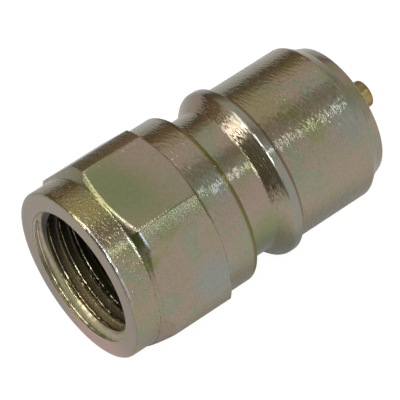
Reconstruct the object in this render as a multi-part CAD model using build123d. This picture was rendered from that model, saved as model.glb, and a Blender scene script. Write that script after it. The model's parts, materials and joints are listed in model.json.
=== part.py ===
from build123d import *
import math
import os

# Quick coupling nipple, the male half of a hydraulic poppet coupling, lying on one flat of its hexagon.
# Millimetres. +X runs from the threaded end to the valve tip, on the axis that all the pieces share.
# The origin is the centre of the flat ring at the threaded end, and +Z is up.

# Hexagon, cut on a turned blank, with both its ends chamfered like a nut: its flats rise above the barrel
HEX_RISE = 0.4
HEX_CORNER_CUT = 0.79
HEX_CHAMFER_ANGLE = 30.0
HEX_LENGTH = 11.7
COLLAR_STEP = 0.4
COLLAR_LENGTH = 4.25
COLLAR_EDGE = 0.55

# Round barrel, lock groove and lock ring behind the nose: the barrel rises above the lock ring
BARREL_RISE = 0.1
BARREL_LENGTH = 5.05
BARREL_EDGE = 0.35
GROOVE_DEPTH = 2.0
GROOVE_FLOOR = 4.9
GROOVE_FILLET = 0.6
RAMP_ANGLE = 45.0
LOCK_RING_RISE = 1.0
LOCK_RING_LAND = 1.5
LOCK_RING_EDGE = 0.25
LOCK_RING_BLEND = 0.5

# Nose that the other half's seal slides on
NOSE_D = 24.0
NOSE_LENGTH = 13.3
NOSE_CHAMFER_DEPTH = 1.25
NOSE_CHAMFER_LENGTH = 1.65
PILOT_DEPTH = 0.7
PILOT_LENGTH = 1.8
PILOT_EDGE = 0.5

# Pipe thread port, half inch parallel: the bore is the thread's crest
THREAD_MAJOR_D = 20.955
THREAD_DEPTH = 1.162
THREAD_END = 15.5
PORT_MOUTH_STEP = 0.885
PORT_MOUTH_DEPTH = 1.45
RELIEF_DEPTH = 0.05
RELIEF_LENGTH = 2.3

# Valve chamber, seat and front mouth
GROOVE_WALL = 2.0
SEAT_STEP = 2.8
SEAT_ANGLE = 45.0
SEAT_LAND_LENGTH = 2.6
FRONT_MOUTH_D = 16.4
FRONT_MOUTH_DEPTH = 2.45

# Internal retaining ring with two lugs, in a groove of the chamber
RING_THICKNESS = 1.0
RING_GROOVE_DEPTH = 0.5
RING_GROOVE_WALL = 1.1
RING_FULL_WIDTH = 2.1
RING_END_WIDTH = 1.35
RING_LUG_R = 1.7
RING_LUG_HOLE_D = 1.5
RING_LUG_ANGLE = 26.0
RING_GAP_ANGLE = 34.0

# Guide: a ring, three legs and a long hub that the valve's stem runs in
GUIDE_THICKNESS = 2.4
GUIDE_RIM_WIDTH = 1.3
GUIDE_LEGS = 3
GUIDE_LEG_WIDTH = 2.6
HUB_D = 7.6
HUB_LENGTH = 8.0
HUB_EDGE = 0.4

# Valve: tip, head, spigot for the seal and its washer, and stem
TIP_D = 4.15
TIP_STAND_OUT = 5.15
TIP_EDGE = 0.35
TIP_BLEND = 2.0
HEAD_RECESS = 2.2
HEAD_FLARE = 1.6
HEAD_EDGE = 0.4
SPIGOT_STEP = 1.6
STEM_D = 4.0
STEM_BEHIND_HUB = 0.6
STEM_EDGE = 0.5
SEAL_LENGTH = 1.5
SEAL_OVER_HEAD = 0.1
WASHER_THICKNESS = 1.2
WASHER_INSET = 0.5

# Compression spring with closed ends, each ground flat
WIRE_D = 1.2
ACTIVE_TURNS = 4.5
END_TURNS = 1.0
END_TURN_GAP = 0.024
GROUND_OFF = 0.24

# Clearances between pieces, on the radius or along the axis
STEM_CLEARANCE = 0.05
HEAD_CLEARANCE = 0.3
SEAL_TO_SEAT = 0.05
GUIDE_CLEARANCE = 0.05
RING_CLEARANCE = 0.05
RING_LUG_CLEARANCE = 0.15
SPIGOT_CLEARANCE = 0.02
SPRING_TO_HUB = 0.5

# Diameters that follow from the sizes above
LOCK_RING_D = NOSE_D + 2 * LOCK_RING_RISE
GROOVE_D = LOCK_RING_D - 2 * GROOVE_DEPTH
BARREL_D = LOCK_RING_D + 2 * BARREL_RISE
HEX_ACROSS_FLATS = BARREL_D + 2 * HEX_RISE
HEX_CORNER_D = HEX_ACROSS_FLATS / math.cos(math.radians(30)) - 2 * HEX_CORNER_CUT
COLLAR_D = HEX_ACROSS_FLATS - 2 * COLLAR_STEP
NOSE_CHAMFER_D = NOSE_D - 2 * NOSE_CHAMFER_DEPTH
PILOT_END_D = NOSE_CHAMFER_D - 2 * PILOT_DEPTH
THREAD_MINOR_D = THREAD_MAJOR_D - 2 * THREAD_DEPTH
PORT_MOUTH_D = THREAD_MINOR_D + 2 * PORT_MOUTH_STEP
RELIEF_D = THREAD_MAJOR_D + 2 * RELIEF_DEPTH
CHAMBER_D = GROOVE_D - 2 * GROOVE_WALL
SEAT_LAND_D = CHAMBER_D - 2 * SEAT_STEP
RING_GROOVE_D = CHAMBER_D + 2 * RING_GROOVE_DEPTH
HEAD_D = SEAT_LAND_D - 2 * HEAD_CLEARANCE
SPIGOT_D = HEAD_D - 2 * SPIGOT_STEP
SPRING_R = HUB_D / 2 + SPRING_TO_HUB + WIRE_D / 2

# Places along the axis, from the sizes above
HEX_START = COLLAR_LENGTH
HEX_END = HEX_START + HEX_LENGTH
BARREL_END = HEX_END + BARREL_LENGTH
GROOVE_END = BARREL_END + GROOVE_FLOOR
RAMP_END = GROOVE_END + GROOVE_DEPTH / math.tan(math.radians(RAMP_ANGLE))
LOCK_RING_END = RAMP_END + LOCK_RING_LAND
NOSE_END = LOCK_RING_END + NOSE_LENGTH
CHAMFER_END = NOSE_END + NOSE_CHAMFER_LENGTH
FRONT = CHAMFER_END + PILOT_LENGTH
RELIEF_END = THREAD_END + RELIEF_LENGTH
RING_GROOVE_BACK = RELIEF_END + RING_GROOVE_WALL
RING_BACK = RING_GROOVE_BACK + RING_CLEARANCE
RING_FRONT = RING_BACK + RING_THICKNESS
RING_GROOVE_FRONT = RING_FRONT + RING_CLEARANCE
LAND_END = FRONT - FRONT_MOUTH_DEPTH
SEAT_END = LAND_END - SEAT_LAND_LENGTH
SEAT_START = SEAT_END - SEAT_STEP / math.tan(math.radians(SEAT_ANGLE))
GUIDE_BACK = RING_FRONT
GUIDE_FRONT = GUIDE_BACK + GUIDE_THICKNESS
HUB_END = GUIDE_BACK + HUB_LENGTH
STEM_BACK = GUIDE_BACK - STEM_BEHIND_HUB
HEAD_FRONT = FRONT - HEAD_RECESS
TIP_END = FRONT + TIP_STAND_OUT

# The seal's cone lies beside the seat's cone at the same slope
SEAT_SLOPE = math.tan(math.radians(SEAT_ANGLE))
SEAL_FRONT_D = HEAD_D + 2 * SEAL_OVER_HEAD
SEAL_GAP_ACROSS = SEAL_TO_SEAT / math.cos(math.radians(SEAT_ANGLE))
SEAL_FRONT = SEAT_END - (SEAL_GAP_ACROSS - (SEAT_LAND_D - SEAL_FRONT_D) / 2) / SEAT_SLOPE
SEAL_BACK = SEAL_FRONT - SEAL_LENGTH
SEAL_BACK_D = SEAL_FRONT_D + 2 * SEAL_LENGTH * SEAT_SLOPE
WASHER_D = SEAL_BACK_D - 2 * WASHER_INSET
WASHER_BACK = SEAL_BACK - WASHER_THICKNESS


def turned(points):
    """Solid of revolution about the X axis from (x, diameter) points."""
    outline = Polyline(*[(x, d / 2) for x, d in points], close=True)
    return revolve(make_face(outline), Axis.X, 360)


def tube(start, end, bore, outside):
    """Plain ring or tube about the X axis."""
    return turned([(start, bore), (start, outside), (end, outside), (end, bore)])


def edges_at(solid, x, d):
    """The circular edges of a turned solid at one place along the axis and one diameter."""
    near = 1e-3

    def is_there(edge):
        box = edge.bounding_box()
        return abs(box.min.X - x) < near and abs(box.max.X - x) < near and abs(box.max.Y - d / 2) < near

    return [e for e in solid.edges() if e.geom_type == GeomType.CIRCLE and is_there(e)]


def hexagon():
    """Hexagon with two flats level, cut from a blank whose two cones give the curved chamfers."""
    slope = math.tan(math.radians(HEX_CHAMFER_ANGLE))
    front_cone = (HEX_CORNER_D - COLLAR_D) / 2 * slope
    back_cone = (HEX_CORNER_D - BARREL_D) / 2 * slope
    blank = turned([
        (HEX_START, 0), (HEX_START, COLLAR_D), (HEX_START + front_cone, HEX_CORNER_D),
        (HEX_END - back_cone, HEX_CORNER_D), (HEX_END, BARREL_D), (HEX_END, 0),
    ])
    outline = RegularPolygon(HEX_ACROSS_FLATS / 2, 6, major_radius=False)
    return blank & extrude(Plane.YZ * outline, HEX_END)


def body_outside():
    """Everything that the lathe and the mill give the outside."""
    shaft = turned([
        (0, 0), (0, COLLAR_D - 2 * COLLAR_EDGE), (COLLAR_EDGE, COLLAR_D), (HEX_START, COLLAR_D),
        (HEX_END, BARREL_D), (BARREL_END, BARREL_D), (BARREL_END, GROOVE_D), (GROOVE_END, GROOVE_D),
        (RAMP_END, LOCK_RING_D), (LOCK_RING_END, LOCK_RING_D), (LOCK_RING_END, NOSE_D),
        (NOSE_END, NOSE_D), (CHAMFER_END, NOSE_CHAMFER_D), (FRONT, PILOT_END_D), (FRONT, 0),
    ])
    shaft = fillet(edges_at(shaft, GROOVE_END, GROOVE_D), GROOVE_FILLET)
    shaft = fillet(edges_at(shaft, RAMP_END, LOCK_RING_D), LOCK_RING_BLEND)
    shaft = fillet(edges_at(shaft, LOCK_RING_END, LOCK_RING_D), LOCK_RING_EDGE)
    shaft = fillet(edges_at(shaft, BARREL_END, BARREL_D), BARREL_EDGE)
    shaft = fillet(edges_at(shaft, FRONT, PILOT_END_D), PILOT_EDGE)
    return shaft + hexagon()


def body_inside():
    """The bores: port, thread relief, retaining ring groove, chamber, seat, land and front mouth."""
    return turned([
        (0, 0), (0, PORT_MOUTH_D), (PORT_MOUTH_DEPTH, THREAD_MINOR_D), (THREAD_END, THREAD_MINOR_D),
        (THREAD_END, RELIEF_D), (RELIEF_END, RELIEF_D), (RELIEF_END, CHAMBER_D),
        (RING_GROOVE_BACK, CHAMBER_D), (RING_GROOVE_BACK, RING_GROOVE_D),
        (RING_GROOVE_FRONT, RING_GROOVE_D), (RING_GROOVE_FRONT, CHAMBER_D),
        (SEAT_START, CHAMBER_D), (SEAT_END, SEAT_LAND_D), (LAND_END, SEAT_LAND_D),
        (FRONT, FRONT_MOUTH_D), (FRONT, 0),
    ])


def make_body():
    """Body in one piece, from one bar."""
    return body_outside() - body_inside()


def make_valve():
    """Valve, turned from one bar: stem, spigot, head and the tip that stands out of the nose."""
    valve = turned([
        (STEM_BACK, 0), (STEM_BACK, STEM_D), (WASHER_BACK, STEM_D), (WASHER_BACK, SPIGOT_D),
        (SEAL_FRONT, SPIGOT_D), (SEAL_FRONT, HEAD_D), (HEAD_FRONT, HEAD_D),
        (HEAD_FRONT + HEAD_FLARE, TIP_D), (TIP_END, TIP_D), (TIP_END, 0),
    ])
    valve = fillet(edges_at(valve, HEAD_FRONT + HEAD_FLARE, TIP_D), TIP_BLEND)
    valve = fillet(edges_at(valve, TIP_END, TIP_D), TIP_EDGE)
    valve = fillet(edges_at(valve, HEAD_FRONT, HEAD_D), HEAD_EDGE)
    return chamfer(edges_at(valve, STEM_BACK, STEM_D), STEM_EDGE)


def make_seal():
    """Moulded ring with a cone that matches the seat."""
    bore = SPIGOT_D + 2 * SPIGOT_CLEARANCE
    return turned([
        (SEAL_BACK, bore), (SEAL_BACK, SEAL_BACK_D), (SEAL_FRONT, SEAL_FRONT_D), (SEAL_FRONT, bore),
    ])


def make_washer():
    """Washer that backs the seal and takes the spring."""
    return tube(WASHER_BACK, SEAL_BACK, SPIGOT_D + 2 * SPIGOT_CLEARANCE, WASHER_D)


def make_guide():
    """Star guide: rim, legs and hub in one piece."""
    rim_d = CHAMBER_D - 2 * GUIDE_CLEARANCE
    guide = tube(GUIDE_BACK, GUIDE_FRONT, rim_d - 2 * GUIDE_RIM_WIDTH, rim_d)
    hub = turned([(GUIDE_BACK, 0), (GUIDE_BACK, HUB_D), (HUB_END, HUB_D), (HUB_END, 0)])
    guide += chamfer(edges_at(hub, HUB_END, HUB_D), HUB_EDGE)
    leg_reach = (rim_d - GUIDE_RIM_WIDTH) / 2
    leg = Box(GUIDE_THICKNESS, GUIDE_LEG_WIDTH, leg_reach, align=(Align.MIN, Align.CENTER, Align.MIN))
    for i in range(GUIDE_LEGS):
        guide += Rot(X=i * 360 / GUIDE_LEGS) * Pos(GUIDE_BACK, 0, 0) * leg
    bore_d = STEM_D + 2 * STEM_CLEARANCE
    return guide - turned([(GUIDE_BACK, 0), (GUIDE_BACK, bore_d), (HUB_END, bore_d), (HUB_END, 0)])


def make_retaining_ring():
    """Flat internal ring, thinner beside its gap, with a lug and a plier hole at each end."""
    outer_r = RING_GROOVE_D / 2 - RING_CLEARANCE
    inner_r = outer_r - (RING_FULL_WIDTH + RING_END_WIDTH) / 2
    shift = (RING_FULL_WIDTH - RING_END_WIDTH) / 2
    half_gap = math.radians(RING_GAP_ANGLE / 2)
    beyond = 2 * outer_r
    across, down = beyond * math.sin(half_gap), beyond * math.cos(half_gap)
    gap = make_face(Polyline((0, 0), (-across, -down), (across, -down), close=True))
    plan = Circle(outer_r) - Pos(0, -shift) * Circle(inner_r) - gap
    lug_orbit = CHAMBER_D / 2 - RING_LUG_CLEARANCE - RING_LUG_R
    for side in (-1, 1):
        angle = math.radians(side * RING_LUG_ANGLE - 90)
        spot = Pos(lug_orbit * math.cos(angle), lug_orbit * math.sin(angle))
        plan += spot * Circle(RING_LUG_R)
        plan -= spot * Circle(RING_LUG_HOLE_D / 2)
    return extrude(Plane.YZ.offset(RING_BACK) * plan, RING_THICKNESS)


def spring_coil(start, pitch, turns, first_turn):
    """One stretch of wire at one pitch; first_turn is where it takes over, in turns."""
    path = Helix(pitch, pitch * turns, SPRING_R, center=(0, 0, 0))
    section = Plane(path @ 0, z_dir=path % 0) * Circle(WIRE_D / 2)
    coil = sweep(section, path=path, is_frenet=True)
    return Pos(start, 0, 0) * Rot(Y=90) * Rot(Z=first_turn * 360) * coil


def wire_knuckle(x, turn):
    """Ball of the wire's size that joins two stretches where the pitch changes."""
    return Pos(x, 0, 0) * Rot(Y=90) * Rot(Z=turn * 360) * Pos(SPRING_R, 0, 0) * Sphere(WIRE_D / 2)


def make_spring():
    """Compression spring with closed ends, ground flat against the guide and the washer."""
    first = GUIDE_FRONT + WIRE_D / 2 - GROUND_OFF
    last = WASHER_BACK - WIRE_D / 2 + GROUND_OFF
    end_pitch = WIRE_D + END_TURN_GAP
    opens, closes = first + end_pitch * END_TURNS, last - end_pitch * END_TURNS
    spring = spring_coil(first, end_pitch, END_TURNS, 0)
    spring += spring_coil(opens, (closes - opens) / ACTIVE_TURNS, ACTIVE_TURNS, END_TURNS)
    spring += spring_coil(closes, end_pitch, END_TURNS, END_TURNS + ACTIVE_TURNS)
    spring += wire_knuckle(opens, END_TURNS)
    spring += wire_knuckle(closes, END_TURNS + ACTIVE_TURNS)
    return spring & tube(GUIDE_FRONT, WASHER_BACK, HUB_D, HUB_D + 4 * (SPRING_TO_HUB + WIRE_D))


PARTS = {
    "nipple_body": make_body,
    "valve_poppet": make_valve,
    "poppet_seal": make_seal,
    "seal_washer": make_washer,
    "poppet_spring": make_spring,
    "valve_guide": make_guide,
    "retaining_ring": make_retaining_ring,
}

os.makedirs("parts", exist_ok=True)
for name, make in PARTS.items():
    export_step(make(), f"parts/{name}.step")
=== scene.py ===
import json
import math

import bmesh
import bpy
from mathutils import Matrix, Vector


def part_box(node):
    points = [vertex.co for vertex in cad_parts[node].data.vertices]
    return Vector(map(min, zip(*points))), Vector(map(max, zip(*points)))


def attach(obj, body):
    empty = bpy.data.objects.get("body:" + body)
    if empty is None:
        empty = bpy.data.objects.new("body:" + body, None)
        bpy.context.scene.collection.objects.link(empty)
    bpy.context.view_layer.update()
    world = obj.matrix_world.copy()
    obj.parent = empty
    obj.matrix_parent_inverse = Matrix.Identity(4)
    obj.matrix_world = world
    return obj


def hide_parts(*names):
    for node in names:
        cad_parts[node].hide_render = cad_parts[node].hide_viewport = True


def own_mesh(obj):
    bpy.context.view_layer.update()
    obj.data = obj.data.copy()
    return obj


bl_info = {
    "name": "Quick coupling nipple",
    "version": (1, 0, 0),
    "blender": (4, 5, 0),
    "location": "3D View > Sidebar > Nipple",
    "description": "Builds the looks of a hydraulic quick coupling nipple around its packed model",
    "category": "Object",
}

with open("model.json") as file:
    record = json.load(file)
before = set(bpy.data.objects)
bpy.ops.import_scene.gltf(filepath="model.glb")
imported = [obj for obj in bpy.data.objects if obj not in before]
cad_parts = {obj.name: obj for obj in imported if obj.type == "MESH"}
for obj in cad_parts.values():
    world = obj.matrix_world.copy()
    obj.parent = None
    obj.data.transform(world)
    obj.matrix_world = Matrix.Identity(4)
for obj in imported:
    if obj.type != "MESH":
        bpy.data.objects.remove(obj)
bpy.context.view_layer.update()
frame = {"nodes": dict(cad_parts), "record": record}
MOUNTS = {m["name"]: m for m in frame["record"]["mounts"]}
MM = 0.001
AXIS = Vector((1, 0, 0))

# Sides of the hexagon, and fineness of the meshes
HEX_SIDES = 6
LATHE_STEPS = 162
ROUNDING_STEPS = 4
COIL_STEPS = 48
WIRE_SIDES = 12
FLOOR_SIDES = 96

# Distances in metres: points that count as one, points on a cut's plane, and the shortest edge of a flat
WELD = 0.002 * MM
ON_PLANE = 1e-7
SHORTEST_RIM = 0.04 * MM

# Form of the pipe thread, as shares of its pitch: height of the sharp triangle, rounding of crests and
# roots, and how far outside the port the helix starts before it is cut off
THREAD_TRIANGLE = 0.960491
THREAD_ROUNDING = 0.1373
THREAD_LEAD_IN = 1.5

# The guide's ring, which the spring rests on, and the pitch of the closed turns in wire diameters
GUIDE_THICKNESS = 2.4 * MM
CLOSED_PITCH = 1.02

# Radius at which places round the axis are measured, and how much a radius counts as a place along it, so
# that faces square to the axis have tool lines too
ROUND_RADIUS = 13 * MM
FACE_LINES = 0.8

# Plating: the bloom's scale and contrast, how much fine speckle shifts its noise value, its colours by that
# value, and those of the flecks over all
BLOOM_SCALE = 150.0
BLOOM_CONTRAST = 1.5
BLOOM_SPECKLE = 0.24
BLOOM = (
    (0.30, (0.225, 0.215, 0.115)), (0.40, (0.258, 0.227, 0.155)), (0.48, (0.262, 0.222, 0.162)),
    (0.54, (0.285, 0.220, 0.175)), (0.59, (0.255, 0.225, 0.160)), (0.65, (0.220, 0.230, 0.155)),
    (0.72, (0.238, 0.236, 0.182)), (0.80, (0.258, 0.227, 0.160)),
)
FLECKS = ((0.3, (0.88, 0.93, 0.87)), (0.5, (1.0, 1.0, 1.0)), (0.7, (1.08, 1.02, 1.05)))

# Patches of bloom: centre and radius in millimetres, colour and strength. A patch is full in its core,
# which is a share of its radius.
PATCH_CORE = 0.2
PATCHES = (
    ((6.5, 1.5, 13.5), 8.0, "green", 0.9), ((10.0, -4.5, 13.5), 7.0, "green", 0.5),
    ((13.5, 4.5, 13.5), 6.0, "pink", 0.7), ((6.5, -10.5, 8.5), 6.0, "pink", 0.4),
    ((13.0, -12.9, 3.5), 5.0, "slate", 0.8), ((1.5, 1.5, 13.1), 5.0, "olive", 0.9),
    ((18.5, -5.5, 11.9), 4.5, "slate", 0.5), ((18.5, 3.0, 12.8), 6.0, "pink", 0.5),
    ((23.5, -8.0, 7.5), 5.0, "pink", 0.8), ((32.0, 1.0, 12.0), 5.0, "olive", 0.6),
    ((18.0, -12.5, -3.0), 6.0, "olive", 0.7), ((24.3, -10.3, 2.0), 4.5, "green", 0.8),
    ((4.7, -6.6, 12.0), 1.9, "leaf", 1.0), ((4.7, -9.3, 10.0), 1.9, "leaf", 0.8),
    ((4.6, -13.0, -2.0), 5.0, "pink", 0.9), ((42.0, -7.0, 10.0), 5.0, "slate", 0.6),
    ((41.0, -1.0, 12.0), 3.5, "slate", 0.4), ((14.0, -12.5, -1.0), 3.5, "slate", 0.4),
    ((27.3, 8.8, 9.6), 5.0, "pink", 0.9), ((13.5, -2.5, 13.5), 4.5, "pink", 0.3),
)

# Zones of the body along the axis, in millimetres: start, end and softness
BANDS = {
    "hexagon": (4.3, 15.9, 0.1), "collar": (0.5, 4.2, 0.1), "bore": (-1, 18, 0.1), "mouth": (0.05, 1.3, 0.1),
    "lock_groove": (21.0, 27.4, 0.3), "lock_ring": (27.4, 29.3, 0.3),
}
# Limits in millimetres over which a zone sets in: by radius, along the axis, and across to the far side
RADII = {
    "outside": (10.7, 10.9), "corners": (14.35, 14.6), "collar": (12.7, 12.9), "wall": (10.0, 10.6),
    "face": (10.25, 10.3),
}
PLACES = {"deep_bore_shade": (2.0, 6.5), "face": (0.05, 0.02), "nose_tip": (42.2, 43.0)}
FAR_SIDE = (2, 6)
# Limits of the noise for gilt and for pits on the collar
GILT = (0.42, 0.62)
PITS = (0.50, 0.62)
GILT_STRENGTH = 0.5

# Colours of the port, in order: zone, strength, colour, and a spot (centre and radius in millimetres) with
# a colour of its own. The bore's dark tones are painted shade; its gold lower wall is yellow plating with
# painted light, and the countersink's lighter side is painted light.
PORT_TONES = (
    # Painted shade over the bore, with painted light on the gold lower wall
    ("bore", 1.0, "bore", ((2.5, 0.5, -9.5), 13), "gold_lit_wall"),
    # Painted shade deeper in the port
    ("deep_bore_shade", 1.0, "deep_bore_shade", None, None),
    # Painted light on one side of the countersink
    ("mouth", 1.0, "mouth", ((0.7, 9.5, 0), 10), "mouth_lit_side"),
    ("face", 0.8, "face", ((0, -4, -10.5), 11), "face_rose"),
)
# Edges and lands with a colour of their own or with painted shade and painted highlights: colour, band along
# the axis, radius past which it sets in, spot that it is limited to, all in millimetres, and strength
MARKS = (
    # Painted shade: a dark line at the barrel's rim
    ("barrel_rim_shade", (20.35, 21.6, 0.2), (12.4, 12.7), None, 1.0),
    ("ring_land", (27.7, 29.0, 0.3), None, None, 0.6),
    # Painted shade: a brown line where the lock ring meets the nose
    ("ring_rim_shade", (29.1, 29.95, 0.1), None, None, 0.8),
    # Painted highlight along the collar's rounded rim
    ("collar_rim_highlight", (0.20, 0.46, 0.06), (12.85, 12.95), ((0.3, -6.0, 11.6), 8.5), 1.0),
    # Painted highlight where the collar meets the hexagon
    ("collar_foot_highlight", (4.0, 4.35, 0.06), None, ((4.2, -6.6, 11.3), 3.0), 1.0),
    # Painted highlight at a corner of the hexagon's front chamfer
    ("hexagon_tip_highlight", (5.12, 5.42, 0.05), None, ((5.25, -7.2, 12.95), 1.8), 1.0),
)

# Relief of the plating: what share of the tool lines each zone lacks, and heights of the grain and the pits
CALM = {
    "ends": 0.75, "collar": 0.6, "lock_groove": 0.4, "hexagon": 0.4, "far_side": 0.45, "face": 0.92,
    "flats": 0.8,
}
GRAIN_HEIGHT = 0.15
PIT_HEIGHT = 0.28
# Roughness at the grain's lows and highs, what rougher zones add, and what the bore's coat takes from metal
PLATED_ROUGHNESS = (0.12, 0.22)
ROUGHER = 0.10
BORE_COAT = 0.25

# Turned inner pieces: darkest tone as a share of the colour, and roughness below and above its middle
DARKEST = 0.6
SMOOTHER, COARSER = 0.08, 0.12
RUBBER_ROUGHNESS = (0.55, 0.75)

# Camera, fitted to the photograph's outline
CAMERA_PLACE_MM = (-175.274, -220.337, 426.470)
CAMERA_TURN_DEG = (34.624, -2.017, -38.829)
CAMERA_LENS = 337.016
CAMERA_SENSOR = 36
CAMERA_CLIP = (0.01, 20)

# Floor, in millimetres: middle, radius, gap under the part, and limits over which its areas set in, for
# "left" along the axis and for the others across it
FLOOR_MIDDLE_MM = 20
FLOOR_RADIUS_MM = 1500
FLOOR_GAP_MM = 0.02
FLOOR_AREAS_MM = {
    "near_side": (-20, -60), "left": (-80, -150), "left_depth": (-250, -100), "far_side": (40, 250),
    "beyond": (-30, -5),
}
# The floor's roughness, the strength of its glow, how much of that the camera and the metal see, and how
# dark the metal mirrors the left and far areas and all that lies beyond the part's near side
PAPER_ROUGHNESS = 0.9
GLOW = 1.1
GLOW_SEEN = 0.85
GLOW_MIRRORED = 0.8
SHADE_AROUND = 0.9
SHADE_BEYOND = 0.3

# Lamps: name, place, size and aim in millimetres, the name of its power in Studio, and tint
WHITE = (1, 1, 1)
LAMPS = (
    ("key_strip", (260, -265, 575), (1000, 14), (260, 0, 0), "key_watts", (0.84, 0.98, 1.15)),
    ("port_key", (-364, 184, 438), (70, 70), (0, 0, 0), "port_watts", WHITE),
    ("cross_strip", (-180, -205, 540), (60, 470), (23, 0, 0), "cross_watts", WHITE),
    ("side_soft", (-480, 288, 216), (170, 150), (23, 0, 0), "side_watts", WHITE),
    ("port_soft", (-225, 252, 495), (400, 300), (8, 0, 0), "fill_watts", WHITE),
)

# What the metal mirrors: degrees round the part's axis, where 0 is straight up and 90 the far side
SKY = (
    (-180, (0.9, 0.9, 0.9)), (-90, (1.06, 1.07, 1.12)), (-62, (0.99, 1.0, 1.02)), (-42, (0.96, 0.97, 0.97)),
    (-34, (0.78, 0.84, 0.80)), (-12, (0.62, 0.64, 0.58)), (-2, (0.47, 0.45, 0.38)), (8, (0.48, 0.46, 0.38)),
    (17, (0.85, 0.85, 0.80)), (30, (0.95, 0.94, 0.90)), (48, (0.95, 0.92, 0.86)), (62, (0.84, 0.78, 0.68)),
    (72, (0.49, 0.385, 0.245)), (84, (0.25, 0.155, 0.065)), (92, (0.33, 0.255, 0.15)),
    (120, (0.38, 0.37, 0.345)), (180, (0.9, 0.9, 0.9)),
)
# Regions over that: limits for x, y and z of the direction, strength and colour. They lie low beyond the
# port, beside the port except on the far side, and ahead of the nose.
REGIONS = (
    (((-0.50, -0.85), (0.60, 0.20), (0.65, 0.35)), 0.95, (0.05, 0.06, 0.02)),
    (((-0.22, -0.48), (0.45, 0.25), None), 0.75, (0.20, 0.19, 0.13)),
    (((0.72, 0.86), None, None), 0.85, (0.74, 0.73, 0.66)),
)


def length(name, text, mm):
    """A size that is written in millimetres and kept in metres."""
    return bpy.props.FloatProperty(name=name, description=text, default=mm * MM, unit="LENGTH", precision=5)


def colour(name, text, rgb):
    """A colour, as linear red, green and blue."""
    return bpy.props.FloatVectorProperty(
        name=name, description=text, default=rgb, subtype="COLOR", size=3, min=0, max=1)


def share(name, text, value):
    """A plain number."""
    return bpy.props.FloatProperty(name=name, description=text, default=value)


class BodySizes(bpy.types.PropertyGroup):
    """Sizes of the body, from the port at x = 0 to the front of the nose, and of its bores."""
    flats: length("Across flats", "Width of the hexagon", 27.0)
    corners: length("Across corners", "Turned width of the hexagon over its corners", 29.6)
    collar_d: length("Collar", "Diameter of the round collar at the port", 26.2)
    collar_end: length("Collar end", "Where the hexagon starts", 4.25)
    strip_start: length("Strip start", "Where the corner strips start, past the front chamfer", 5.23)
    strip_end: length("Strip end", "Where the corner strips end", 14.97)
    hex_end: length("Hexagon end", "Where the barrel starts", 15.95)
    barrel_d: length("Barrel", "Diameter of the barrel", 26.2)
    barrel_end: length("Barrel end", "Where the lock groove starts", 21.0)
    groove_d: length("Groove", "Diameter of the lock groove's floor", 22.0)
    groove_end: length("Groove end", "Where the ramp starts", 25.9)
    ring_d: length("Lock ring", "Diameter of the lock ring", 26.0)
    ring_start: length("Lock ring start", "Top of the ramp", 27.9)
    ring_end: length("Lock ring end", "Where the nose starts", 29.4)
    nose_end: length("Nose end", "Where the nose's chamfer starts", 42.7)
    pilot_start_d: length("Pilot start", "Diameter where the chamfer ends", 21.5)
    pilot_start: length("Pilot place", "Where the chamfer ends", 44.35)
    pilot_end_d: length("Pilot end", "Diameter of the front face", 20.1)
    mouth_d: length("Front mouth", "Diameter of the front mouth", 16.4)
    land_d: length("Seat land", "Diameter of the bore that the valve's head fills", 12.4)
    land_end: length("Land end", "Where the front mouth starts", 43.7)
    seat_end: length("Seat end", "Where the seat's cone meets the land", 41.1)
    seat_start: length("Seat start", "Where the chamber ends", 38.3)
    chamber_d: length("Chamber", "Diameter of the valve chamber", 18.0)
    ring_groove_d: length("Ring groove", "Diameter of the retaining ring's groove", 19.0)
    ring_groove_start: length("Ring groove start", "Rear side of the retaining ring's groove", 18.9)
    ring_groove_end: length("Ring groove end", "Front side of the retaining ring's groove", 20.0)
    relief_d: length("Relief", "Diameter of the thread relief", 21.055)
    relief_end: length("Relief end", "Where the chamber starts", 17.8)


class EdgeSizes(bpy.types.PropertyGroup):
    """Rounding radii of the body's edges, from the seat over the nose to the port."""
    seat_back: length("Seat, back", "Where the chamber meets the seat", 0.2)
    seat_front: length("Seat, front", "Where the seat meets its land", 0.1)
    land: length("Land", "Where the land meets the front mouth", 0.1)
    mouth: length("Front mouth", "Rim of the front mouth", 0.15)
    pilot: length("Front face", "Rim of the front face", 0.5)
    chamfer_front: length("Chamfer, front", "Where the chamfer meets the pilot", 0.4)
    chamfer_back: length("Chamfer, back", "Where the nose meets the chamfer", 0.8)
    nose_foot: length("Nose foot", "Corner between lock ring and nose", 0.08)
    ring_front: length("Lock ring, front", "Front rim of the lock ring", 0.45)
    ring_back: length("Lock ring, back", "Top of the ramp", 0.9)
    ramp_foot: length("Ramp foot", "Corner between groove and ramp", 0.6)
    groove: length("Groove", "Corner between barrel and groove", 0.15)
    barrel: length("Barrel", "Rim of the barrel", 0.3)
    hexagon_back: length("Hexagon, back", "Corner between hexagon and barrel", 0.2)
    hexagon_front: length("Hexagon, front", "Corner between collar and hexagon", 0.3)
    port: length("Port", "Rim of the collar", 0.45)
    flat_rims: length("Rims of the flats", "Width of the soft strip inside each flat's rim", 0.35)


class ThreadSizes(bpy.types.PropertyGroup):
    """The port's internal pipe thread."""
    pitch: length("Pitch", "Distance from crest to crest", 1.814)
    major_d: length("Major", "Diameter over the roots", 20.955)
    end: length("End", "Where the thread meets its relief", 15.5)
    mouth_d: length("Mouth", "Diameter of the countersink at the face", 20.4)
    countersink: length("Countersink", "Depth of the countersink", 1.45)


class SpringSizes(bpy.types.PropertyGroup):
    """The spring between the guide and the seal's washer."""
    wire_d: length("Wire", "Diameter of the wire", 1.2)
    mean_d: length("Coil", "Diameter of the coil at the middle of the wire", 9.8)
    ground: length("Ground", "How much is ground off each end", 0.24)
    active_turns: share("Active turns", "Open turns between the closed ends", 4.5)
    end_turns: share("End turns", "Closed turns at each end", 1.0)
    travel: length("Travel", "How far the valve opens", 4.4)


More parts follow.
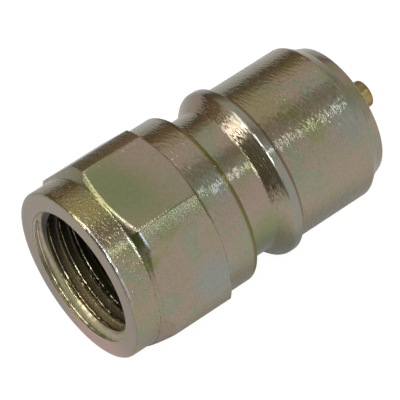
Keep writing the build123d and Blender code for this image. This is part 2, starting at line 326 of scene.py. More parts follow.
class Finishes(bpy.types.PropertyGroup):
    """Colours of the finishes, some of them painted shade and painted highlights."""
    pink: colour("Pink", "Pink bloom of the plating", (0.285, 0.215, 0.17))
    green: colour("Green", "Green bloom of the plating", (0.172, 0.196, 0.096))
    olive: colour("Olive", "Thick yellow plating, also the gilt on the collar", (0.25, 0.21, 0.095))
    leaf: colour("Leaf", "Green bloom at the foot of the hexagon", (0.16, 0.185, 0.065))
    slate: colour("Slate", "Grey bloom of the plating", (0.23, 0.245, 0.225))
    # Yellow plating of the bore, with painted light on its lower wall
    gold_lit_wall: colour("Gold", "Thick yellow plating on the bore's lower wall", (0.44, 0.36, 0.19))
    # Painted shade over the rest of the bore
    bore: colour("Bore", "Shaded plating on the rest of the bore", (0.05, 0.05, 0.04))
    # Painted shade deeper in the port
    deep_bore_shade: colour("Deep bore", "Plating deeper in the port", (0.05, 0.045, 0.02))
    mouth: colour("Countersink", "Countersink of the port", (0.39, 0.36, 0.24))
    # Painted light on one side of the countersink
    mouth_lit_side: colour("Countersink, far side", "Lighter far side of the countersink", (0.62, 0.54, 0.45))
    face: colour("Port face", "Flat ring round the port", (0.345, 0.28, 0.23))
    face_rose: colour("Port face, low", "Rosy lower part of the flat ring", (0.58, 0.38, 0.355))
    # Painted shade: a dark line at the barrel's rim
    barrel_rim_shade: colour("Barrel edge", "Dark olive line at the barrel's rim", (0.135, 0.12, 0.035))
    ring_land: colour("Lock ring", "Grey land of the lock ring", (0.225, 0.235, 0.21))
    # Painted shade: a brown line where the lock ring meets the nose
    ring_rim_shade: colour("Lock ring edge", "Brown line at the lock ring's front rim", (0.13, 0.095, 0.055))
    # Painted highlight along the collar's rounded rim
    collar_rim_highlight: colour("Collar rim", "Highlit rim of the collar", (0.56, 0.58, 0.60))
    # Painted highlight where the collar meets the hexagon
    collar_foot_highlight: colour("Collar foot", "Highlit spot where the collar meets the hexagon", (0.60, 0.62, 0.48))
    # Painted highlight at a corner of the hexagon's front chamfer
    hexagon_tip_highlight: colour("Hexagon tip", "Highlit spot at a corner of the hexagon", (0.62, 0.68, 0.78))
    brass: colour("Brass", "Valve", (0.34, 0.24, 0.105))
    steel: colour("Steel", "Guide and washer", (0.36, 0.35, 0.33))
    spring: colour("Spring steel", "Spring and retaining ring", (0.16, 0.15, 0.14))
    rubber: colour("Rubber", "Seal ring", (0.02, 0.02, 0.021))


class Studio(bpy.types.PropertyGroup):
    """Powers of the lamps and colours of the floor."""
    key_watts: share("Key", "Power of the strip lamp on the near side", 0.40)
    port_watts: share("Port", "Power of the small lamp aimed at the port", 0.36)
    cross_watts: share("Cross strip", "Power of the strip lamp across the axis", 1.3)
    side_watts: share("Side", "Power of the low lamp on the far side of the port", 0.5)
    fill_watts: share("Fill", "Power of the soft lamp above the port", 1.0)
    floor_colour: colour("Floor", "Pale floor", (0.82, 0.82, 0.82))
    floor_shade: colour("Floor shade", "What metal mirrors from dark areas of the floor", (0.02, 0.02, 0.01))


def state():
    """The add-on's settings."""
    return bpy.context.scene.nipple


def make_object(bm, name, body, smooth_deg):
    """Turns a bmesh into a finished object with outward faces and sharp edges past an angle."""
    bmesh.ops.recalc_face_normals(bm, faces=bm.faces)
    soft = bm.edges.layers.int.get("soft")
    for edge in bm.edges:
        rounded = soft is not None and edge[soft] == 1
        edge.smooth = rounded or edge.calc_face_angle(0) < math.radians(smooth_deg)
    for face in bm.faces:
        face.smooth = True
    if soft is not None:
        bm.edges.layers.int.remove(soft)
    mesh = bpy.data.meshes.new(name)
    bm.to_mesh(mesh)
    bm.free()
    piece = bpy.data.objects.new(name, mesh)
    bpy.context.scene.collection.objects.link(piece)
    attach(piece, body)
    return piece


def everything(bm):
    """All verts, edges and faces of a bmesh."""
    return bm.verts[:] + bm.edges[:] + bm.faces[:]


def add_wire(bm, corners):
    """Outline in the XZ plane from (x, diameter, rounding radius), with its corners rounded."""
    verts = [bm.verts.new((x, 0, -d / 2)) for x, d, _ in corners]
    for pair in zip(verts, verts[1:]):
        bm.edges.new(pair)
    rounded = []
    for i in range(1, len(corners) - 1):
        radius = corners[i][2]
        if radius > 0:
            before = verts[i].co - verts[i - 1].co
            after = verts[i + 1].co - verts[i].co
            rounded.append((verts[i], radius * math.tan(before.angle(after) / 2)))
    for vert, setback in rounded:
        bmesh.ops.bevel(bm, geom=[vert], offset=setback, offset_type="OFFSET", segments=ROUNDING_STEPS,
                        profile=0.5, affect="VERTICES", material=-1)


def lathe(bm):
    """Spins all that is in the bmesh once round the X axis."""
    bmesh.ops.spin(bm, geom=bm.verts[:] + bm.edges[:], cent=(0, 0, 0), axis=AXIS, angle=2 * math.pi,
                   steps=LATHE_STEPS, use_merge=True, use_duplicate=False)


def wind(bm, geom, pitch, turns, steps):
    """Sweeps verts and edges along a helix round the X axis."""
    return bmesh.ops.spin(bm, geom=geom, cent=(0, 0, 0), axis=AXIS, dvec=(pitch * turns / steps, 0, 0),
                          angle=2 * math.pi * turns, steps=steps, use_merge=False, use_duplicate=False)


def trim_ends(bm, low, high):
    """Cuts off what lies outside two places along the axis."""
    for x, side in ((low, 1), (high, -1)):
        bmesh.ops.bisect_plane(
            bm, geom=everything(bm), dist=ON_PLANE, plane_co=(x, 0, 0), plane_no=(side, 0, 0),
            use_snap_center=False, clear_outer=False, clear_inner=True)


def ring_at(bm, x, low, high):
    """The open boundary edges at one place along the axis, between two radii."""
    def is_there(edge):
        return all(abs(v.co.x - x) < WELD and low < v.co.yz.length < high for v in edge.verts)

    return [e for e in bm.edges if e.is_boundary and is_there(e)]


def front():
    """Front face of the nose, from the frame."""
    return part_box("nipple_body")[1][0]


def nose_d():
    """Diameter of the nose, from the frame."""
    return 2 * MOUNTS["nose_seal"]["dims"]["r_mm"] * MM


def body_outline(s, e):
    """The body's outline from the thread relief, through the bores and over the nose, to the port's face.

    It ends on that face, two of the rim's radii in from the collar's edge.
    """
    return [
        (state().thread.end, s.relief_d, 0), (s.relief_end, s.relief_d, 0), (s.relief_end, s.chamber_d, 0),
        (s.ring_groove_start, s.chamber_d, 0), (s.ring_groove_start, s.ring_groove_d, 0),
        (s.ring_groove_end, s.ring_groove_d, 0), (s.ring_groove_end, s.chamber_d, 0),
        (s.seat_start, s.chamber_d, e.seat_back), (s.seat_end, s.land_d, e.seat_front),
        (s.land_end, s.land_d, e.land), (front(), s.mouth_d, e.mouth),
        (front(), s.pilot_end_d, e.pilot), (s.pilot_start, s.pilot_start_d, e.chamfer_front),
        (s.nose_end, nose_d(), e.chamfer_back), (s.ring_end, nose_d(), e.nose_foot),
        (s.ring_end, s.ring_d, e.ring_front), (s.ring_start, s.ring_d, e.ring_back),
        (s.groove_end, s.groove_d, e.ramp_foot), (s.barrel_end, s.groove_d, e.groove),
        (s.barrel_end, s.barrel_d, e.barrel), (s.hex_end, s.barrel_d, e.hexagon_back),
        (s.strip_end, s.corners, 0), (s.strip_start, s.corners, 0),
        (s.collar_end, s.collar_d, e.hexagon_front), (0, s.collar_d, e.port),
        (0, s.collar_d - 4 * e.port, 0),
    ]


def cut_flats(bm, across, strip):
    """Cuts the six flats on the turned blank. Their rims are marked soft, with a narrow strip inside."""
    cuts = []
    for side in range(HEX_SIDES):
        normal = Matrix.Rotation(math.radians(360 / HEX_SIDES * side), 3, "X") @ Vector((0, 0, 1))
        made = bmesh.ops.bisect_plane(
            bm, geom=everything(bm), dist=ON_PLANE, plane_co=normal * across / 2, plane_no=normal,
            use_snap_center=False, clear_outer=True, clear_inner=False)
        rim = [e for e in made["geom_cut"] if isinstance(e, bmesh.types.BMEdge) and e.is_boundary]
        cuts += bmesh.ops.edgeloop_fill(bm, edges=rim)["faces"]
    bmesh.ops.dissolve_degenerate(bm, edges=[e for f in cuts for e in f.edges], dist=SHORTEST_RIM)
    flats = [f for f in cuts if f.is_valid]
    soft = bm.edges.layers.int["soft"]
    for rim in {e for f in flats for e in f.edges}:
        rim[soft] = 1
    bmesh.ops.inset_individual(bm, faces=flats, thickness=strip, use_even_offset=True)


def add_thread(bm, t):
    """Helical wall of the port, cut back by the countersink, open at both its ends."""
    minor_d = 2 * MOUNTS["thread_port"]["dims"]["r_mm"] * MM
    middle = (minor_d + t.major_d) / 2
    sharp = THREAD_TRIANGLE * t.pitch
    rounding = THREAD_ROUNDING * t.pitch
    start = -THREAD_LEAD_IN * t.pitch
    add_wire(bm, [
        (start, middle, 0), (start + 0.25 * t.pitch, middle - sharp, rounding),
        (start + 0.75 * t.pitch, middle + sharp, rounding), (start + t.pitch, middle, 0)])
    wind(bm, bm.verts[:] + bm.edges[:], t.pitch, 1, LATHE_STEPS)
    one_turn = everything(bm)
    for turn in range(1, math.ceil((t.end - start) / t.pitch) + 1):
        copy = bmesh.ops.duplicate(bm, geom=one_turn)["geom"]
        verts = [v for v in copy if isinstance(v, bmesh.types.BMVert)]
        bmesh.ops.translate(bm, verts=verts, vec=AXIS * turn * t.pitch)
    bmesh.ops.remove_doubles(bm, verts=bm.verts, dist=WELD)
    trim_ends(bm, 0, t.end)
    slope = (t.mouth_d - minor_d) / 2 / t.countersink
    for vert in bm.verts:
        least = max(minor_d / 2, t.mouth_d / 2 - vert.co.x * slope)
        reach = vert.co.yz.length
        if reach < least:
            vert.co.yz = vert.co.yz * (least / reach)


class NIPPLE_OT_body(bpy.types.Operator):
    """Build the body with its flats, grooves, bores and thread"""
    bl_idname = "nipple.body"
    bl_label = "Body"

    def execute(self, context):
        s, e, t = state().body, state().edges, state().thread
        bm = bmesh.new()
        bm.edges.layers.int.new("soft")
        add_wire(bm, body_outline(s, e))
        lathe(bm)
        cut_flats(bm, s.flats, e.flat_rims)
        wall = bmesh.new()
        add_thread(wall, t)
        mesh = bpy.data.meshes.new("thread_wall")
        wall.to_mesh(mesh)
        wall.free()
        bm.from_mesh(mesh)
        bpy.data.meshes.remove(mesh)
        for x in (0, t.end):
            bmesh.ops.triangle_fill(bm, use_beauty=True, edges=ring_at(bm, x, 0, s.collar_d))
        loose = [edge for edge in bm.edges if not edge.is_manifold]
        if loose:
            raise RuntimeError(f"the body is open at {len(loose)} edges")
        body = make_object(bm, "body_shell", "housing", 30)
        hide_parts("nipple_body")
        body.data.materials.append(plated_steel())
        return {"FINISHED"}


class NIPPLE_OT_spring(bpy.types.Operator):
    """Build the valve's spring between the guide and the seal's washer"""
    bl_idname = "nipple.spring"
    bl_label = "Spring"

    def execute(self, context):
        s = state().spring
        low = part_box("valve_guide")[0][0] + GUIDE_THICKNESS
        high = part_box("seal_washer")[0][0]
        first = low + s.wire_d / 2 - s.ground
        last = high - s.wire_d / 2 + s.ground
        closed = s.wire_d * CLOSED_PITCH
        open_pitch = (last - first - 2 * closed * s.end_turns) / s.active_turns
        bm = bmesh.new()
        turn = Matrix.Rotation(math.radians(90), 4, "X")
        place = Matrix.Translation((first, 0, s.mean_d / 2))
        made = bmesh.ops.create_circle(bm, segments=WIRE_SIDES, radius=s.wire_d / 2, matrix=place @ turn)
        ring = made["verts"]
        for pitch, turns in ((closed, s.end_turns), (open_pitch, s.active_turns), (closed, s.end_turns)):
            edges = list({e for v in ring for e in v.link_edges if all(w in ring for w in e.verts)})
            swept = wind(bm, ring + edges, pitch, turns, int(COIL_STEPS * turns))
            ring = [v for v in swept["geom_last"] if isinstance(v, bmesh.types.BMVert)]
        trim_ends(bm, low, high)
        bmesh.ops.holes_fill(bm, edges=bm.edges, sides=0)
        coil = make_object(bm, "valve_spring", "housing", 40)
        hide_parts("poppet_spring")
        coil.data.materials.append(plain_metal("spring_wire", state().finish.spring, 0.35))
        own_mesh(coil)
        return {"FINISHED"}


class NIPPLE_OT_inner(bpy.types.Operator):
    """Give the valve, seal, washer, guide and retaining ring their finishes"""
    bl_idname = "nipple.inner"
    bl_label = "Valve and inner pieces"

    def execute(self, context):
        f = state().finish
        finishes = {
            "valve_poppet": plain_metal("turned_brass", f.brass, 0.3),
            "poppet_seal": moulded_rubber(),
            "seal_washer": plain_metal("washer_steel", f.steel, 0.35),
            "valve_guide": plain_metal("guide_steel", f.steel, 0.4),
            "retaining_ring": plain_metal("ring_steel", f.spring, 0.3),
        }
        for name, material in finishes.items():
            piece = frame["nodes"][name]
            piece.data.materials.clear()
            piece.data.materials.append(material)
        return {"FINISHED"}


def new_group(name, inputs, outputs):
    """Empty shader node group with named number inputs, and outputs as (name, type)."""
    group = bpy.data.node_groups.new(name, "ShaderNodeTree")
    for label in inputs:
        group.interface.new_socket(label, in_out="INPUT", socket_type="NodeSocketFloat")
    for label, kind in outputs:
        group.interface.new_socket(label, in_out="OUTPUT", socket_type=kind)
    return group, group.nodes.new("NodeGroupInput"), group.nodes.new("NodeGroupOutput")


def node(tree, kind, **values):
    """New node; each value is a property of it, or an input by name."""
    made = tree.nodes.new(kind)
    for key, value in values.items():
        if hasattr(made, key):
            setattr(made, key, value)
        else:
            made.inputs[key].default_value = value
    return made


def link(tree, *pairs):
    """Links pairs of an output and an input."""
    for source, target in pairs:
        tree.links.new(source, target)


def math_node(tree, operation, first, second=None, third=None, clamp=False):
    """Math node; sockets are linked and numbers are set. Returns its output."""
    made = node(tree, "ShaderNodeMath", operation=operation, use_clamp=clamp)
    for i, value in enumerate((first, second, third)):
        if value is None:
            continue
        if isinstance(value, (int, float)):
            made.inputs[i].default_value = value
        else:
            tree.links.new(value, made.inputs[i])
    return made.outputs[0]


def times(tree, first, *others):
    """Product of sockets and numbers."""
    for other in others:
        first = math_node(tree, "MULTIPLY", first, other)
    return first


def most(tree, first, *others):
    """Largest of some sockets."""
    for other in others:
        first = math_node(tree, "MAXIMUM", first, other)
    return first


def add(tree, first, second):
    """Sum of two sockets."""
    return math_node(tree, "ADD", first, second)


def scaled(tree, value, factor, plus):
    """A socket times a number or socket, plus another."""
    return math_node(tree, "MULTIPLY_ADD", value, factor, plus)


def inverse(tree, value):
    """1 less a value."""
    return math_node(tree, "SUBTRACT", 1.0, value)


def mix_colour(tree, factor, first, second, blend="MIX"):
    """Mixes two colours, each a socket or a colour."""
    made = node(tree, "ShaderNodeMix", data_type="RGBA", blend_type=blend)
    for i, value in ((0, factor), (6, first), (7, second)):
        if isinstance(value, bpy.types.NodeSocket):
            tree.links.new(value, made.inputs[i])
        elif i == 0:
            made.inputs[i].default_value = value
        else:
            made.inputs[i].default_value = (*value, 1)
    return made.outputs[2]


def colour_ramp(tree, value, stops):
    """Colour that follows a value through a list of (place, colour)."""
    made = node(tree, "ShaderNodeValToRGB")
    elements = made.color_ramp.elements
    while len(elements) < len(stops):
        elements.new(1.0)
    for element, (place, rgb) in zip(elements, stops):
        element.position = place
        element.color = (*rgb, 1)
    tree.links.new(value, made.inputs[0])
    return made.outputs[0]


def ramp(tree, value, low, high):
    """Smooth step of a value between two limits."""
    made = node(tree, "ShaderNodeMapRange", interpolation_type="SMOOTHSTEP")
    made.inputs["From Min"].default_value = low
    made.inputs["From Max"].default_value = high
    tree.links.new(value, made.inputs["Value"])
    return made.outputs["Result"]


def ramp_mm(tree, value, low, high):
    """Smooth step of a value in metres between two limits in millimetres."""
    return ramp(tree, value, low * MM, high * MM)


def spread(tree, value, low, high):
    """A value from 0 to 1, moved to lie between two limits."""
    made = node(tree, "ShaderNodeMapRange")
    made.inputs["To Min"].default_value = low
    made.inputs["To Max"].default_value = high
    tree.links.new(value, made.inputs["Value"])
    return made.outputs["Result"]


def band(tree, value, low, high, soft):
    """1 where a value in metres lies between two limits in millimetres."""
    rise = ramp_mm(tree, value, low - soft, low + soft)
    fall = ramp_mm(tree, value, high - soft, high + soft)
    return math_node(tree, "SUBTRACT", rise, fall, clamp=True)


def patch(tree, where, centre_mm, radius_mm):
    """1 near a point on the surface, fading out to 0 at a radius."""
    away = node(tree, "ShaderNodeVectorMath", operation="DISTANCE")
    away.inputs[1].default_value = [c * MM for c in centre_mm]
    link(tree, (where, away.inputs[0]))
    return ramp_mm(tree, away.outputs["Value"], radius_mm, PATCH_CORE * radius_mm)


def object_place(tree):
    """Place in the object's own frame."""
    return node(tree, "ShaderNodeTexCoord").outputs["Object"]


def split(tree, vector):
    """The three parts of a vector."""
    parts = node(tree, "ShaderNodeSeparateXYZ")
    link(tree, (vector, parts.inputs[0]))
    return parts.outputs


def noise(tree, where, **values):
    """Value of a noise at a place; each keyword is one of its inputs."""
    made = node(tree, "ShaderNodeTexNoise", **values)
    link(tree, (where, made.inputs["Vector"]))
    return made.outputs["Fac"]


def around_group():
    """Place on a turned piece: metres along the axis, metres round it and radius."""
    if "Around the axis" in bpy.data.node_groups:
        return bpy.data.node_groups["Around the axis"]
    group, _, out = new_group("Around the axis", [], [
        ("Along", "NodeSocketFloat"), ("Around", "NodeSocketFloat"), ("Radius", "NodeSocketFloat")])
    x, y, z = split(group, object_place(group))
    radius = math_node(group, "SQRT", add(group, times(group, y, y), times(group, z, z)))
    around = times(group, math_node(group, "ARCTAN2", y, z), ROUND_RADIUS)
    link(group, (x, out.inputs["Along"]), (around, out.inputs["Around"]), (radius, out.inputs["Radius"]))
    return group


def turned_group():
    """Fine lines left by a lathe tool, broken up along their length."""
    if "Turned lines" in bpy.data.node_groups:
        return bpy.data.node_groups["Turned lines"]
    group, given, out = new_group(
        "Turned lines", ["Lines per metre", "Stretch"], [("Height", "NodeSocketFloat")])
    per_metre, stretch = given.outputs["Lines per metre"], given.outputs["Stretch"]
    place = node(group, "ShaderNodeGroup", node_tree=around_group())
    outline = scaled(group, place.outputs["Radius"], FACE_LINES, place.outputs["Along"])
    along = times(group, outline, per_metre)
    across = times(group, place.outputs["Around"], times(group, per_metre, stretch))
    unrolled = node(group, "ShaderNodeCombineXYZ")
    link(group, (along, unrolled.inputs[0]), (across, unrolled.inputs[1]))
    lines = noise(group, unrolled.outputs[0], noise_dimensions="2D", Scale=1.0, Detail=0.5, Roughness=0.5)
    link(group, (lines, out.inputs["Height"]))
    return group


def tool_lines(tree, per_metre, stretch):
    """Height of the lathe tool's lines, each as long as its stretch is small."""
    lines = node(tree, "ShaderNodeGroup", node_tree=turned_group())
    lines.inputs["Lines per metre"].default_value = per_metre
    lines.inputs["Stretch"].default_value = stretch
    return lines.outputs["Height"]


def bloom_group():
    """Soft patches of olive, pink, green and grey in a passivated plating."""
    if "Plating bloom" in bpy.data.node_groups:
        return bpy.data.node_groups["Plating bloom"]
    group, given, out = new_group("Plating bloom", ["Scale"], [("Color", "NodeSocketColor")])
    where = object_place(group)
    patches = node(group, "ShaderNodeTexNoise", Detail=4.0, Roughness=0.55, Distortion=0.3)
    link(group, (where, patches.inputs["Vector"]), (given.outputs["Scale"], patches.inputs["Scale"]))
    speckle = noise(group, where, Scale=2600.0, Detail=2.0, Roughness=0.7)
    stretched = scaled(group, patches.outputs["Fac"], BLOOM_CONTRAST, (1 - BLOOM_CONTRAST) / 2)
    mixed = scaled(group, speckle, BLOOM_SPECKLE, stretched)
    centred = math_node(group, "SUBTRACT", mixed, BLOOM_SPECKLE / 2)
    link(group, (colour_ramp(group, centred, BLOOM), out.inputs["Color"]))
    return group


def new_material(name):
    """New material, its node tree and its main shader."""
    material = bpy.data.materials.new(name)
    material.use_nodes = True
    return material, material.node_tree, material.node_tree.nodes["Principled BSDF"]


def add_bump(tree, shader, height, strength, depth_mm):
    """Fine relief of a shader, from a height."""
    bump = node(tree, "ShaderNodeBump", Strength=strength, Distance=depth_mm * MM)
    link(tree, (height, bump.inputs["Height"]), (bump.outputs[0], shader.inputs["Normal"]))


def body_zones(tree, where):
    """Masks for the zones of the body, by name."""
    place = node(tree, "ShaderNodeGroup", node_tree=around_group())
    along, radius = place.outputs["Along"], place.outputs["Radius"]
    past = {name: ramp_mm(tree, radius, *limits) for name, limits in RADII.items()}
    zones = {name: band(tree, along, *limits) for name, limits in BANDS.items()}
    zones["hexagon"] = times(tree, zones["hexagon"], past["outside"])
    zones["flats"] = times(tree, zones["hexagon"], inverse(tree, past["corners"]))
    zones["collar"] = times(tree, zones["collar"], past["collar"])
    zones["bore"] = times(tree, zones["bore"], inverse(tree, past["wall"]))
    # Painted shade deeper in the port sets in here
    zones["deep_bore_shade"] = times(tree, zones["bore"], ramp_mm(tree, along, *PLACES["deep_bore_shade"]))
    zones["mouth"] = times(tree, zones["mouth"], inverse(tree, past["outside"]))
    zones["face"] = times(tree, ramp_mm(tree, along, *PLACES["face"]), past["face"])
    zones["ends"] = add(tree, zones["lock_ring"], ramp_mm(tree, along, *PLACES["nose_tip"]))
    zones["far_side"] = ramp_mm(tree, split(tree, where)[1], *FAR_SIDE)
    coarse = noise(tree, where, Scale=2400.0, Detail=1.0, Roughness=0.5)
    zones["gilt"] = times(tree, zones["collar"], ramp(tree, coarse, *GILT))
    zones["pits"] = times(tree, zones["collar"], ramp(tree, coarse, *PITS))
    return zones


def mark_mask(tree, where, limits, past, spot, strength):
    """Mask of one of the MARKS."""
    place = node(tree, "ShaderNodeGroup", node_tree=around_group())
    mask = band(tree, place.outputs["Along"], *limits)
    if past:
        mask = times(tree, mask, ramp_mm(tree, place.outputs["Radius"], *past))
    if spot:
        mask = times(tree, mask, patch(tree, where, *spot))
    return times(tree, mask, strength)


def plating_tone(tree, where, zones):
    """Colour of the plating: bloom and its patches, then the port and the marks with their painted shade and
    painted light, and flecks over all.
    """
    f = state().finish
    bloom = node(tree, "ShaderNodeGroup", node_tree=bloom_group())
    bloom.inputs["Scale"].default_value = BLOOM_SCALE
    tone = bloom.outputs["Color"]
    for centre, size, shade, strength in PATCHES:
        mask = times(tree, patch(tree, where, centre, size), strength)
        tone = mix_colour(tree, mask, tone, getattr(f, shade))
    tone = mix_colour(tree, times(tree, zones["gilt"], GILT_STRENGTH), tone, f.olive)
    for zone, strength, shade, spot, spot_shade in PORT_TONES:
        own = getattr(f, shade)
        if spot:
            own = mix_colour(tree, patch(tree, where, *spot), own, getattr(f, spot_shade))
        tone = mix_colour(tree, times(tree, zones[zone], strength), tone, own)
    for shade, *extent in MARKS:
        tone = mix_colour(tree, mark_mask(tree, where, *extent), tone, getattr(f, shade))
    fleck = noise(tree, where, Scale=3300.0, Detail=1.0, Roughness=0.6)
    return mix_colour(tree, 1.0, tone, colour_ramp(tree, fleck, FLECKS), "MULTIPLY")


def plating_height(tree, zones, grain):
    """Relief of the plating: tool lines, grain on the flats and in the bore, and pits on the collar."""
    calm = most(tree, *[times(tree, zones[zone], amount) for zone, amount in CALM.items()])
    lines = times(tree, tool_lines(tree, per_metre=4600.0, stretch=0.2), inverse(tree, calm))
    finer = times(tree, most(tree, zones["flats"], zones["bore"]), GRAIN_HEIGHT)
    pits = times(tree, zones["pits"], PIT_HEIGHT)
    return add(tree, add(tree, lines, times(tree, grain, finer)), pits)


def plated_steel():
    """Turned and milled steel with a passivated plating."""
    material, tree, shader = new_material("plated_steel")
    where = object_place(tree)
    zones = body_zones(tree, where)
    grain = noise(tree, where, Scale=2800.0, Detail=1.0, Roughness=0.5)
    add_bump(tree, shader, plating_height(tree, zones, grain), strength=1.0, depth_mm=0.085)
    rough = spread(tree, grain, *PLATED_ROUGHNESS)
    rough = scaled(tree, most(tree, zones["bore"], zones["hexagon"]), ROUGHER, rough)
    rough = scaled(tree, zones["mouth"], ROUGHER, rough)
    metal = scaled(tree, zones["bore"], -BORE_COAT, 1.0)
    link(tree, (plating_tone(tree, where, zones), shader.inputs["Base Color"]),
         (rough, shader.inputs["Roughness"]), (metal, shader.inputs["Metallic"]))
    return material


def plain_metal(name, rgb, roughness):
    """Turned metal with fine tool lines and a little variation of tone."""
    material, tree, shader = new_material(name)
    shader.inputs["Metallic"].default_value = 1.0
    cloud = noise(tree, object_place(tree), Scale=600.0, Detail=4.0, Roughness=0.6)
    dark = tuple(DARKEST * c for c in rgb)
    tone = mix_colour(tree, ramp(tree, cloud, 0.3, 0.7), dark, rgb)
    rough = spread(tree, cloud, roughness - SMOOTHER, roughness + COARSER)
    link(tree, (tone, shader.inputs["Base Color"]), (rough, shader.inputs["Roughness"]))
    lines = tool_lines(tree, per_metre=8000.0, stretch=0.06)
    add_bump(tree, shader, lines, strength=0.2, depth_mm=0.03)
    return material


def moulded_rubber():
    """Matt black seal rubber."""
    material, tree, shader = new_material("seal_rubber")
    grain = noise(tree, object_place(tree), Scale=3000.0, Detail=3.0)
    rgb = state().finish.rubber
    tone = mix_colour(tree, grain, rgb, tuple(2 * c for c in rgb))
    rough = spread(tree, grain, *RUBBER_ROUGHNESS)
    link(tree, (tone, shader.inputs["Base Color"]), (rough, shader.inputs["Roughness"]))
    add_bump(tree, shader, grain, strength=0.2, depth_mm=0.02)
    return material


class NIPPLE_OT_studio(bpy.types.Operator):
    """Set the floor, the lamps, the surroundings and the camera"""
    bl_idname = "nipple.studio"
    bl_label = "Studio"

    def execute(self, context):
        make_camera(context)
        make_floor(context)
        for name, place, size, aim, power, tint in LAMPS:
            add_lamp(context, name, place, size, aim, getattr(state().studio, power), tint)
        make_surroundings(context)
        context.scene.view_settings.view_transform = "Standard"
        return {"FINISHED"}


def make_camera(context):
    """Camera with the photograph's view."""
    camera = bpy.data.objects.new("camera", bpy.data.cameras.new("camera"))
    context.scene.collection.objects.link(camera)
    camera.location = Vector(CAMERA_PLACE_MM) * MM
    camera.rotation_euler = [math.radians(a) for a in CAMERA_TURN_DEG]
    camera.data.lens = CAMERA_LENS
    camera.data.sensor_width = CAMERA_SENSOR
    camera.data.clip_start, camera.data.clip_end = CAMERA_CLIP
    context.scene.camera = camera


def make_floor(context):
    """Round pale floor that the part lies on."""
    bm = bmesh.new()
    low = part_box("nipple_body")[0][2]
    place = Matrix.Translation((FLOOR_MIDDLE_MM * MM, 0, low - FLOOR_GAP_MM * MM))
    bmesh.ops.create_circle(
        bm, cap_ends=True, segments=FLOOR_SIDES, radius=FLOOR_RADIUS_MM * MM, matrix=place)
    mesh = bpy.data.meshes.new("floor")
    bm.to_mesh(mesh)
    bm.free()
    floor = bpy.data.objects.new("floor", mesh)
    context.scene.collection.objects.link(floor)
    mesh.materials.append(floor_paper())


def floor_paper():
    """Pale paper. It glows to the camera and, on the near side, to the metal, which sees the rest darker."""
    material, tree, shader = new_material("floor_paper")
    shader.inputs["Roughness"].default_value = PAPER_ROUGHNESS
    studio = state().studio
    rays = node(tree, "ShaderNodeLightPath")
    camera_ray, mirror_ray = rays.outputs["Is Camera Ray"], rays.outputs["Is Glossy Ray"]
    x, y, _ = split(tree, object_place(tree))
    area = {
        name: ramp_mm(tree, x if name == "left" else y, *limits)
        for name, limits in FLOOR_AREAS_MM.items()
    }
    left = times(tree, area["left"], area["left_depth"])
    around = times(tree, most(tree, left, area["far_side"]), SHADE_AROUND)
    shade = most(tree, around, times(tree, area["beyond"], SHADE_BEYOND))
    paper = mix_colour(tree, times(tree, shade, mirror_ray), studio.floor_colour, studio.floor_shade)
    glow = node(tree, "ShaderNodeEmission", Strength=GLOW)
    mirrored = times(tree, area["near_side"], GLOW_MIRRORED, mirror_ray)
    glowing = add(tree, times(tree, camera_ray, GLOW_SEEN), mirrored)
    both = node(tree, "ShaderNodeMixShader")
    surface = tree.nodes["Material Output"].inputs["Surface"]
    link(tree, (paper, shader.inputs["Base Color"]), (glowing, both.inputs[0]),
         (shader.outputs[0], both.inputs[1]), (glow.outputs[0], both.inputs[2]), (both.outputs[0], surface))
    return material


def add_lamp(context, name, place_mm, size_mm, aim_mm, watts, tint):
    """Rectangular lamp aimed at a point, its first side as near along the part's axis as it can be."""
    data = bpy.data.lights.new(name, "AREA")
    data.shape = "RECTANGLE"
    data.size, data.size_y = size_mm[0] * MM, size_mm[1] * MM
    data.energy = watts
    data.color = tint
    lamp = bpy.data.objects.new(name, data)
    context.scene.collection.objects.link(lamp)
    lamp.location = Vector(place_mm) * MM
    back = (lamp.location - Vector(aim_mm) * MM).normalized()
    along = (AXIS - back * AXIS.dot(back)).normalized()
    turn = Matrix((along, back.cross(along), back)).transposed()
    lamp.rotation_euler = turn.to_euler()


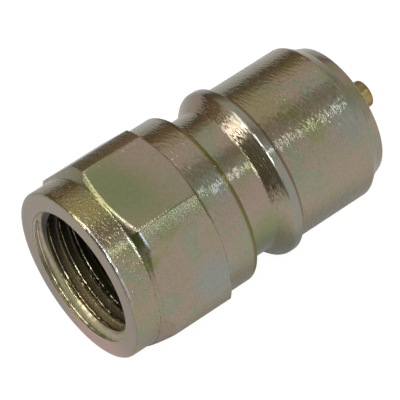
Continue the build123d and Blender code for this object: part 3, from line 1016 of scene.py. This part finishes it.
def make_surroundings(context):
    """Surroundings: white to the camera, and otherwise long strips that run beside the part's axis."""
    world = bpy.data.worlds.new("surroundings")
    context.scene.world = world
    world.use_nodes = True
    tree = world.node_tree
    rays = node(tree, "ShaderNodeLightPath")
    direction = split(tree, node(tree, "ShaderNodeTexCoord").outputs["Generated"])
    angle = math_node(tree, "ARCTAN2", direction[1], direction[2])
    turn = scaled(tree, angle, 0.5 / math.pi, 0.5)
    sky = colour_ramp(tree, turn, [(degrees / 360 + 0.5, rgb) for degrees, rgb in SKY])
    for limits, strength, rgb in REGIONS:
        masks = [ramp(tree, part, *pair) for part, pair in zip(direction, limits) if pair]
        sky = mix_colour(tree, times(tree, *masks, strength), sky, rgb)
    seen = mix_colour(tree, rays.outputs["Is Camera Ray"], sky, WHITE)
    link(tree, (seen, tree.nodes["Background"].inputs["Color"]))


class Nipple(bpy.types.PropertyGroup):
    """All that a user may change."""
    body: bpy.props.PointerProperty(type=BodySizes)
    edges: bpy.props.PointerProperty(type=EdgeSizes)
    thread: bpy.props.PointerProperty(type=ThreadSizes)
    spring: bpy.props.PointerProperty(type=SpringSizes)
    finish: bpy.props.PointerProperty(type=Finishes)
    studio: bpy.props.PointerProperty(type=Studio)


class NIPPLE_PT_panel(bpy.types.Panel):
    """Sidebar panel with one button for each operator"""
    bl_label = "Quick coupling nipple"
    bl_idname = "NIPPLE_PT_panel"
    bl_space_type = "VIEW_3D"
    bl_region_type = "UI"
    bl_category = "Nipple"

    def draw(self, context):
        for operator in OPERATORS:
            self.layout.operator(operator.bl_idname)


OPERATORS = (NIPPLE_OT_body, NIPPLE_OT_spring, NIPPLE_OT_inner, NIPPLE_OT_studio)
SETTINGS = (BodySizes, EdgeSizes, ThreadSizes, SpringSizes, Finishes, Studio, Nipple)
CLASSES = SETTINGS + OPERATORS + (NIPPLE_PT_panel,)


def register():
    """Adds the settings, the operators and the panel to Blender."""
    for kind in CLASSES:
        bpy.utils.register_class(kind)
    bpy.types.Scene.nipple = bpy.props.PointerProperty(type=Nipple)


def unregister():
    """Takes them away again."""
    del bpy.types.Scene.nipple
    for kind in reversed(CLASSES):
        bpy.utils.unregister_class(kind)


def main():
    """Builds the pieces and the studio."""
    register()
    bpy.ops.nipple.body()
    bpy.ops.nipple.spring()
    bpy.ops.nipple.inner()
    bpy.ops.nipple.studio()


if __name__ == "__main__":
    main()
